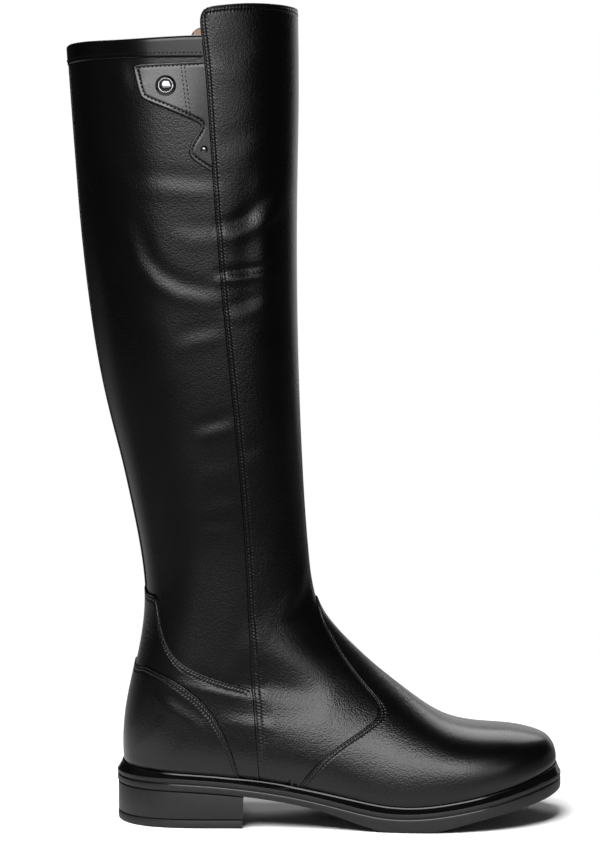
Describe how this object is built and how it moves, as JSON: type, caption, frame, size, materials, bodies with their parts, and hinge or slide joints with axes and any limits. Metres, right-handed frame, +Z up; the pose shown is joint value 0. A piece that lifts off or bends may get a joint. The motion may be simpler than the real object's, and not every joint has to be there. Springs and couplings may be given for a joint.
{
  "type": "knee-high block heel boot",
  "caption": "Right knee-high leather boot with a raised front panel, lapped vamp and heel counter, a buttoned side tab, a welted rubber sole and a low block heel.",
  "frame": {"origin": "on the floor, under the middle of the boot's overall box", "axes": "+X towards the toe, +Y towards the inner (medial) side, +Z up the shaft"},
  "size_m": [0.289, 0.099, 0.4693],
  "materials": {
    "base_leather": "semi-gloss black calf with a fine grain",
    "panel_leather": "semi-gloss black calf with a fine grain",
    "trim_metal": "polished dark nickel",
    "coated_welt": "glossy black edge coat",
    "sole_rubber": "satin charcoal",
    "lift_rubber": "matte charcoal",
    "lining_leather": "matte tan"
  },
  "bodies": {
    "root": {"upper": "base_leather", "front_panel": "panel_leather", "vamp": "panel_leather", "quarter": "panel_leather", "counter": "panel_leather", "back_stay": "panel_leather", "collar_band": "panel_leather", "tab": "panel_leather", "stud": "trim_metal", "rivet": "trim_metal", "welt": "coated_welt", "outsole": "sole_rubber", "heel": "sole_rubber", "top_lift": "lift_rubber", "insole": "lining_leather"}
  },
  "joints": []
}
